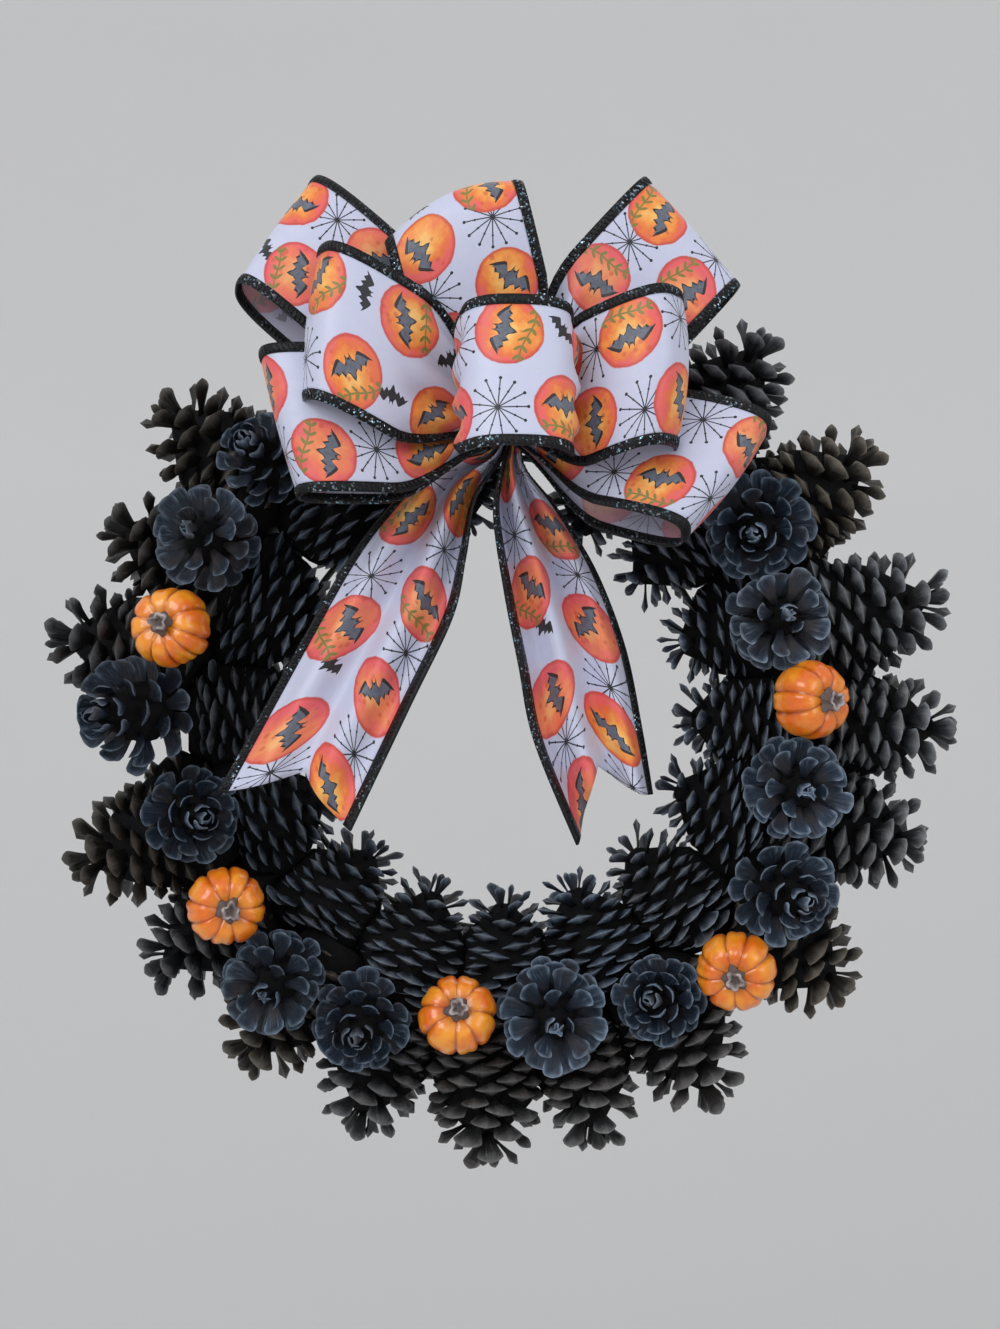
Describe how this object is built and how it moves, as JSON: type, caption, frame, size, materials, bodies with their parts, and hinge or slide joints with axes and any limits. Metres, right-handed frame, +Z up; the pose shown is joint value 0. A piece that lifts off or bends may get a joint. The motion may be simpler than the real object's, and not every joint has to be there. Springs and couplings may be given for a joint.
{
  "type": "pinecone wreath",
  "caption": "Round hanging wreath of black-painted pinecones on a wire frame, with small orange pumpkins and a looped ribbon bow with two long tails.",
  "frame": {"origin": "underside of the frame's outermost ring at its highest point, where the wall hook carries it", "axes": "+Z up as it hangs, -Y towards the viewer, +Y towards the wall, +X to the viewer's right"},
  "size_m": [0.4382, 0.1785, 0.4628],
  "materials": {
    "frame_wire": "satin",
    "cone_black": "satin paint",
    "pumpkin_orange": "gloss",
    "stem_brown": "matte",
    "ribbon": "printed satin",
    "tie_wire": "satin"
  },
  "bodies": {
    "root": {"frame": "frame_wire", "cone_outer_01": "cone_black", "cone_outer_02": "cone_black", "cone_outer_03": "cone_black", "cone_outer_04": "cone_black", "cone_outer_05": "cone_black", "cone_outer_06": "cone_black", "cone_outer_07": "cone_black", "cone_outer_08": "cone_black", "cone_outer_09": "cone_black", "cone_outer_10": "cone_black", "cone_outer_11": "cone_black", "cone_outer_12": "cone_black", "cone_outer_13": "cone_black", "cone_outer_14": "cone_black", "cone_outer_15": "cone_black", "cone_outer_16": "cone_black", "cone_outer_17": "cone_black", "cone_outer_18": "cone_black", "cone_inner_01": "cone_black", "cone_inner_02": "cone_black", "cone_inner_03": "cone_black", "cone_inner_04": "cone_black", "cone_inner_05": "cone_black", "cone_inner_06": "cone_black", "cone_inner_07": "cone_black", "cone_inner_08": "cone_black", "cone_inner_09": "cone_black", "cone_inner_10": "cone_black", "cone_inner_11": "cone_black", "cone_inner_12": "cone_black", "cone_inner_13": "cone_black", "cone_inner_14": "cone_black", "cone_inner_15": "cone_black", "cone_front_01": "cone_black", "cone_front_02": "cone_black", "cone_front_03": "cone_black", "cone_front_04": "cone_black", "cone_front_05": "cone_black", "cone_front_06": "cone_black", "cone_front_07": "cone_black", "cone_front_08": "cone_black", "cone_front_09": "cone_black", "cone_front_10": "cone_black", "cone_front_11": "cone_black", "cone_front_12": "cone_black", "pumpkin_1": "pumpkin_orange", "pumpkin_1_stem": "stem_brown", "pumpkin_2": "pumpkin_orange", "pumpkin_2_stem": "stem_brown", "pumpkin_3": "pumpkin_orange", "pumpkin_3_stem": "stem_brown", "pumpkin_4": "pumpkin_orange", "pumpkin_4_stem": "stem_brown", "pumpkin_5": "pumpkin_orange", "pumpkin_5_stem": "stem_brown", "bow_loops": "ribbon", "bow_tail_left": "ribbon", "bow_tail_right": "ribbon", "bow_tie": "tie_wire"}
  },
  "joints": []
}
